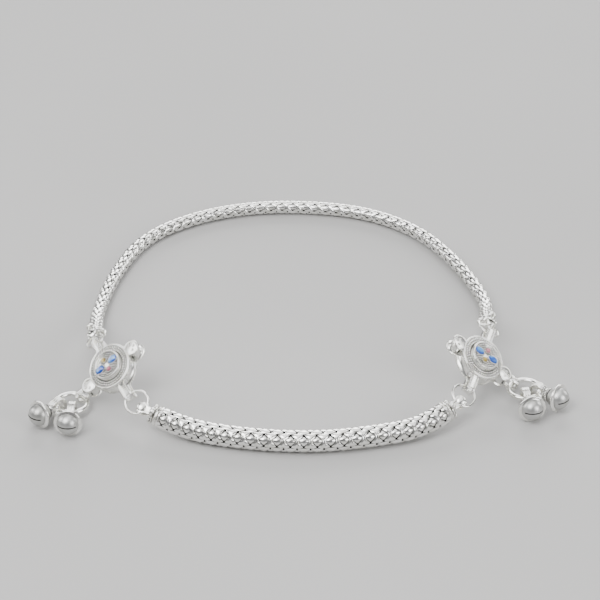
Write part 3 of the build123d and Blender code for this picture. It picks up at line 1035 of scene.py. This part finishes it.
def leaf():
    """Strip folded round the ring wire, narrow at its neck and widest over the wire."""
    bend, length = hairpin(LEAF_STRAIGHT, LEAF_FOLD, LEAF_TIP)

    def width(distance):
        x = bend(distance)[0][0]
        if x > LEAF_MIDDLE:
            return 2 * LEAF_HALF * sqrt(1 - ((x - LEAF_MIDDLE) / LEAF_NOSE) ** 2)
        share = max(0, (x - NECK_END) / (LEAF_MIDDLE - NECK_END))
        return 2 * (NECK_HALF + (LEAF_HALF - NECK_HALF) * sin(share * pi / 2))

    strip = strap(bend, length, width, STRAP_THICKNESS, rib=0.5, rib_depth=0.05,
                  plain=lambda distance: True)
    bmesh.ops.rotate(strip, cent=(0, 0, 0), matrix=Matrix.Rotation(pi, 3, "Z"), verts=strip.verts)
    dome = to_mesh(lathe(DOME_OUTLINE, 32), "dome")
    stamp(strip, dome, Matrix.Translation((-LEAF_MIDDLE, 0, LEAF_FOLD)))
    return strip


print("folded strip of a leaf, mm", round(hairpin(LEAF_STRAIGHT, LEAF_FOLD, LEAF_TIP)[1], 1))

# %% [markdown]
# ## Flower, waist and collar
# Behind the leaf stands a flower of three dished petals round a dished middle, then a waist, and
# a collar that the chain is soldered into. All of them are turned outlines, laid with their axis
# along the chain or stamped round it.
# %% Caps
FLOWER_DISTANCE = 1.72          # from the jump ring wire
PETALS = 3
PETAL_DISTANCE = 1.42
NOTCH_BEAD, NOTCH_DISTANCE, NOTCH_HEIGHT = 0.2, 1.35, 0.1
NOTCH_TURN = 0.625              # a small bead on either side of each petal, in radians
PETAL_OUTLINE = (
    (0, 0.24), (0.2, 0.24), (0.28, 0.34), (0.4, 0.43), (0.56, 0.43), (0.72, 0.32), (0.84, 0.12),
    (0.86, -0.04), (0.80, -0.22), (0.6, -0.36), (0.3, -0.4), (0, -0.4),
)
FLOWER_OUTLINE = (
    (0, 0.2), (0.55, 0.2), (0.8, 0.34), (1.0, 0.44), (1.14, 0.38), (1.2, 0.2), (1.2, -0.25),
    (1.0, -0.32), (0, -0.32),
)
COLLAR_INSET = 0.2              # collar's radius inside the chain's
COLLAR_OUTLINE = (
    # share of the collar's radius, distance from the jump ring wire
    (0, 1.9), (0.74, 1.9), (0.8, 2.0), (0.8, 2.14), (0.75, 2.22), (0.78, 2.32), (0.9, 2.42),
    (0.98, 2.52), (1.06, 2.72), (1.1, 2.86), (1.06, 2.98), (1, 3.04), (0.96, 3.1), (0, 3.1),
)


def cap_body(chain_radius):
    """Flower that faces the jump ring, then waist and collar towards the chain."""
    collar = chain_radius - COLLAR_INSET
    outline = [(share * collar, at) for share, at in COLLAR_OUTLINE]
    shape = lathe(outline, 48, axis=(1, 0, 0))
    facing = Matrix.Translation((FLOWER_DISTANCE, 0, 0)) @ Matrix.Rotation(-pi / 2, 4, "Y")
    stamp(shape, to_mesh(lathe(FLOWER_OUTLINE, 40), "flower"), facing)
    petal = to_mesh(lathe(PETAL_OUTLINE, 28), "petal")
    notch = Matrix.Translation((NOTCH_DISTANCE, 0, NOTCH_HEIGHT)) @ Matrix.Scale(NOTCH_BEAD, 4)
    for number in range(PETALS):
        turn = 2 * pi * number / PETALS
        out = Matrix.Rotation(turn, 4, "Z") @ Matrix.Translation((PETAL_DISTANCE, 0, 0))
        stamp(shape, petal, facing @ out)
        for aside in (-NOTCH_TURN, NOTCH_TURN):
            stamp(shape, BEAD, facing @ Matrix.Rotation(turn + aside, 4, "Z") @ notch)
    return shape


for (end, side), place in CAP_PLACES.items():
    shape = cap_body(CHAINS[f"{end}_chain"][0])
    stamp(shape, to_mesh(leaf(), "leaf"), Matrix.Identity(4))
    add_piece(f"{end}_cap_{side}_cast", to_mesh(shape, "cap"), place, (cast_silver,),
              (f"{end}_cap_{side}",))

# %% [markdown]
# ## Where a bell lies
# Each bell lies on its lip and on its hanging ring, pointing its own way. Its CAD metal is
# longest along its axis, so the directions in which the metal spreads give that axis. The ring
# end lies farther from the middle of the metal than the round end does, which tells the two
# ends apart.
# %% Bell frames
BELL_RADIUS = 2.3
BELL_NAMES = [f"bell_{side}_{which}" for side in SIDES for which in ("outer", "inner")]


def bell_place(node):
    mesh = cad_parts[node].data
    mesh.calc_loop_triangles()
    vertices = np.array([vertex.co for vertex in mesh.vertices])
    corners = vertices[[list(face.vertices) for face in mesh.loop_triangles]]
    middles = corners.mean(axis=1)
    sides = corners[:, 1:] - corners[:, :1]
    areas = np.linalg.norm(np.cross(sides[:, 0], sides[:, 1]), axis=1)
    centre = np.average(middles, axis=0, weights=areas)
    spread = (middles - centre).T @ ((middles - centre) * areas[:, None])
    axis = np.linalg.eigh(spread)[1][:, -1]
    along = (corners.reshape(-1, 3) - centre) @ axis
    if abs(along.max()) > abs(along.min()):
        axis = -axis
    x_way = Vector(axis).normalized()
    y_way = Vector((0, 0, 1)).cross(x_way).normalized()
    z_way = x_way.cross(y_way)
    points = node_points(node)
    origin = x_way * (max(point.dot(x_way) for point in points) - BELL_RADIUS * MM)
    for way in (y_way, z_way):
        reach = [point.dot(way) for point in points]
        origin += way * (min(reach) + max(reach)) / 2
    return frame_matrix(origin, x_way, y_way)


BELL_PLACES = {name: bell_place(name) for name in BELL_NAMES}
for name, place in BELL_PLACES.items():
    print(name, "middle in mm", [round(v / MM, 2) for v in place.translation])

# %% [markdown]
# ## Bells
# A payal bell is a hollow ball pressed from two cups, whose joined rims stand out as a flange.
# A slit across the front cup lets the sound out, and a collar and a thick banded ring hold the
# bell at the back. The ball is a sphere with the faces of the slit taken out before its wall
# gets a thickness, so the slit looks into a dark hollow. Its rows of points beside the slit are
# first moved to the slit's edges.
# %% Bell ball
BALL_RADIUS = 2.12
SLIT_HALF = 0.12
SLIT_REACH = radians(56.5)
SLIT_ROWS = (0.1, 0.3)          # heights between which a row of points belongs to the slit
BELL_WALL = 0.3


def bell_ball():
    shape = bmesh.new()
    bmesh.ops.create_uvsphere(shape, u_segments=64, v_segments=32, radius=BALL_RADIUS)
    for vertex in shape.verts:
        if SLIT_ROWS[0] < abs(vertex.co.z) < SLIT_ROWS[1]:
            flat = vertex.co.xy.normalized() * sqrt(BALL_RADIUS**2 - SLIT_HALF**2)
            vertex.co = (flat.x, flat.y, SLIT_HALF if vertex.co.z > 0 else -SLIT_HALF)
    slit = [
        face for face in shape.faces
        if abs(face.calc_center_median().z) < SLIT_HALF
        and abs(atan2(face.calc_center_median().y, face.calc_center_median().x)) < SLIT_REACH
    ]
    bmesh.ops.delete(shape, geom=slit, context="FACES")
    bmesh.ops.solidify(shape, geom=shape.faces[:], thickness=BELL_WALL)
    bmesh.ops.recalc_face_normals(shape, faces=shape.faces)
    # faces inside the hollow take the second finish: near-black painted shade seen through the slit
    for face in shape.faces:
        face.material_index = 1 if face.calc_center_median().length < BALL_RADIUS - 0.1 else 0
    return shape


print("slit in mm", round(2 * SLIT_HALF, 2), "by", round(2 * SLIT_REACH * BALL_RADIUS, 1))

# %% [markdown]
# ## Flange, collar and hanging ring of a bell
# The flange is the rolled joint of the two cups. Behind the ball come a beaded collar, a short
# neck and a thick hanging ring with three raised bands. All are turned outlines and keep the
# bright cast silver, while the ball is painted a duller grey as shade from the dark surroundings
# it reflects.
# %% Bell fittings
FLANGE_OUTLINE = (
    (2.0, -0.34), (2.2, -0.3), (2.32, -0.2), (2.55, -0.2), (2.66, -0.15), (2.7, -0.05),
    (2.7, 0.05), (2.66, 0.15), (2.55, 0.2), (2.32, 0.2), (2.2, 0.3), (2.0, 0.34), (2.0, -0.34),
)
COLLAR_AND_NECK = (
    (0, -1.8), (1.32, -1.86), (1.4, -1.98), (1.32, -2.1), (1.1, -2.16), (1.1, -2.5),
    (1.22, -2.54), (1.22, -2.66), (1.0, -2.74), (0.93, -2.86), (0.93, -3.2), (0, -3.2),
)
COLLAR_BEADS = (1.16, 1.16, -2.33, 0.34, 0.35)  # half x, half y, height, diameter, spacing
SHANK_DISTANCE = 4.4
SHANK_BANDS = (-0.46, 0.0, 0.46)
BAND_BULGE = ((1.9, -0.19), (1.97, -0.13), (2.0, 0), (1.97, 0.13), (1.9, 0.19))
SHANK_EDGE = ((1.1, -0.55), (1.16, -0.68), (1.3, -0.7), (1.78, -0.7), (1.9, -0.66))


def shank_outline():
    """Closed outline of the hanging ring, from its bore over the bands and back."""
    outline = list(SHANK_EDGE)
    for middle in SHANK_BANDS:
        outline += [(radius, middle + off) for radius, off in BAND_BULGE]
    return outline + [(radius, -height) for radius, height in SHANK_EDGE[::-1]] + [SHANK_EDGE[0]]


def bell_fittings(shape):
    before = len(shape.faces)
    for outline, steps, name in ((FLANGE_OUTLINE, 72, "flange"), (COLLAR_AND_NECK, 40, "collar")):
        stamp(shape, to_mesh(lathe(outline, steps, axis=(1, 0, 0)), name), Matrix.Identity(4))
    beads = bmesh.new()
    bead_oval(beads, (0, 0), *COLLAR_BEADS)
    stamp(shape, to_mesh(beads, "collar_beads"), Matrix.Rotation(pi / 2, 4, "Y"))
    shank = to_mesh(lathe(shank_outline(), 56, axis=(0, 1, 0)), "shank")
    stamp(shape, shank, Matrix.Translation((-SHANK_DISTANCE, 0, 0)))
    shape.faces.ensure_lookup_table()
    for face in shape.faces[before:]:
        face.material_index = 2


for name, place in BELL_PLACES.items():
    shape = bell_ball()
    bell_fittings(shape)
    add_piece(f"{name}_shell", to_mesh(shape, name), place, (bell_silver, deep_painted_shade, cast_silver),
              (name,))

# %% [markdown]
# ## Rings that stay as they are
# The jump rings and the thick bell rings are plain round wire, and the CAD model already has
# that shape exactly. They keep their own mesh and only take a brighter, drawn-wire silver.
# %% Ring finish
for name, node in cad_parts.items():
    if "ring" in name:
        for surface in node.material_slots:
            surface.material = wire_silver
        print(name, "finish set on", len(node.material_slots), "slot")

# %% [markdown]
# ## Sizes
# The finished model must not grow out of the CAD model's box, so that box is printed.
# %% Sizes
print("CAD box", [[round(v / MM, 2) for v in c] for c in CAD_BOX])
